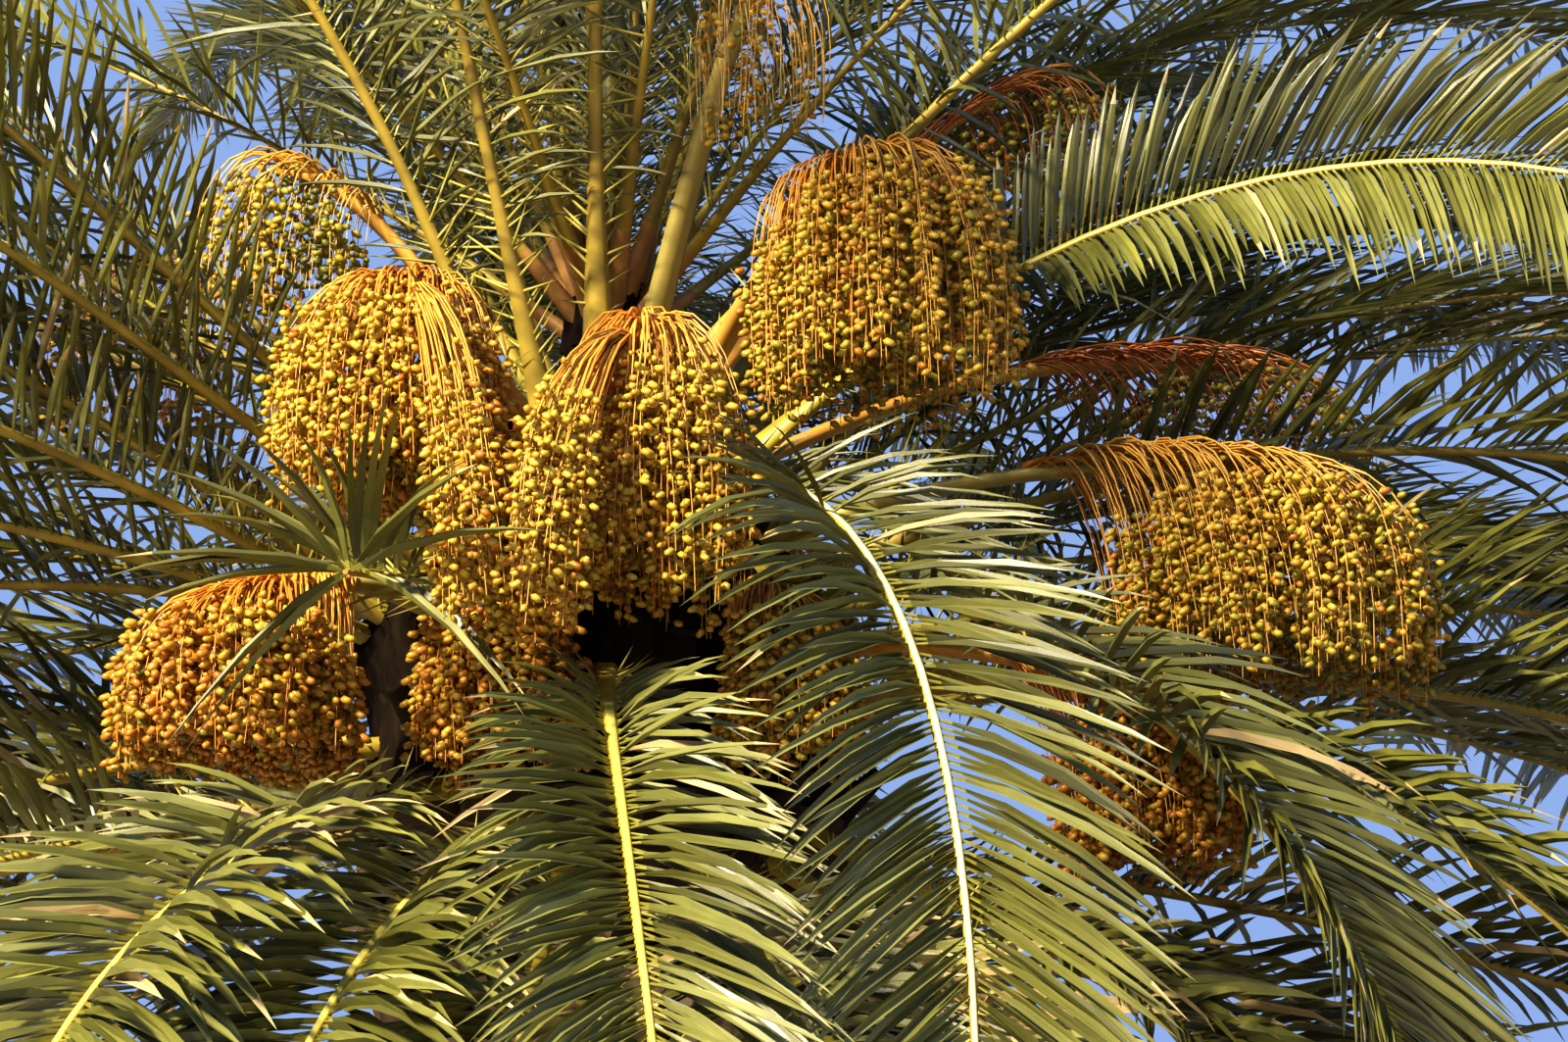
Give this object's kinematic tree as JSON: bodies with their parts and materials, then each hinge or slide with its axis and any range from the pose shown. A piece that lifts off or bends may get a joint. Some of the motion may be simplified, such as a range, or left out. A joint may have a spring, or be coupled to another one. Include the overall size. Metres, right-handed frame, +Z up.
{
  "type": "canary island date palm",
  "caption": "Whole feather-leaved palm tree: thick scarred trunk with flared foot, spiral crown of arching fronds and hanging bunches of ripening fruit.",
  "frame": {"origin": "centre of the flat cut under the trunk, at ground level", "axes": "+Z up along the trunk; -Y towards the side that the picture shows; +X to the right seen from there"},
  "size_m": [8.444, 7.9376, 8.1959],
  "materials": {
    "trunk": "rough, fibrous, with leaf scars",
    "leaf": "waxy satin",
    "young_leaf": "waxy satin",
    "fruit_gold": "smooth satin skin on waxy strands",
    "fruit_orange": "smooth satin skin on waxy strands",
    "fruit_olive": "smooth satin skin on waxy strands",
    "fruit_green": "smooth satin skin on waxy strands"
  },
  "bodies": {
    "root": {"trunk": "trunk", "frond_arch_centre": "leaf", "frond_hang_centre": "leaf", "frond_hang_right": "leaf", "frond_arch_right": "leaf", "frond_left_upper": "leaf", "frond_left_middle": "leaf", "frond_left_lower": "leaf", "frond_rise_left": "leaf", "frond_rise_centre": "leaf", "frond_rise_right": "leaf", "frond_hang_left": "leaf", "frond_droop_left": "leaf", "frond_skirt_left": "leaf", "frond_skirt_right": "leaf", "frond_right_lower": "leaf", "frond_skirt_front": "leaf", "frond_left_top": "leaf", "frond_rise_middle": "leaf", "frond_right_middle": "leaf", "frond_right_outer": "leaf", "frond_right_high": "leaf", "frond_skirt_middle": "leaf", "frond_droop_outer": "leaf", "frond_dry_right": "leaf", "frond_cut_short": "leaf", "frond_far_01": "leaf", "frond_far_02": "leaf", "frond_far_03": "leaf", "frond_far_04": "leaf", "frond_far_05": "leaf", "frond_far_06": "leaf", "frond_far_07": "leaf", "frond_far_08": "leaf", "frond_far_09": "leaf", "frond_far_10": "leaf", "frond_far_11": "leaf", "frond_far_12": "leaf", "frond_far_13": "leaf", "frond_far_14": "leaf", "frond_far_15": "leaf", "frond_far_16": "leaf", "fruit_bunch_01": "fruit_gold", "fruit_bunch_02": "fruit_gold", "fruit_bunch_03": "fruit_orange", "fruit_bunch_04": "fruit_orange", "fruit_bunch_05": "fruit_olive", "fruit_bunch_06": "fruit_olive", "fruit_bunch_07": "fruit_green", "fruit_bunch_08": "fruit_orange", "fruit_bunch_09": "fruit_olive", "fruit_bunch_10": "fruit_green", "fruit_bunch_11": "fruit_green", "fruit_bunch_12": "fruit_gold", "fruit_bunch_13": "fruit_gold", "fruit_bunch_14": "fruit_gold", "fruit_bunch_15": "fruit_olive", "fruit_bunch_16": "fruit_orange", "fruit_bunch_17": "fruit_gold", "spear_leaves": "young_leaf"}
  },
  "joints": []
}
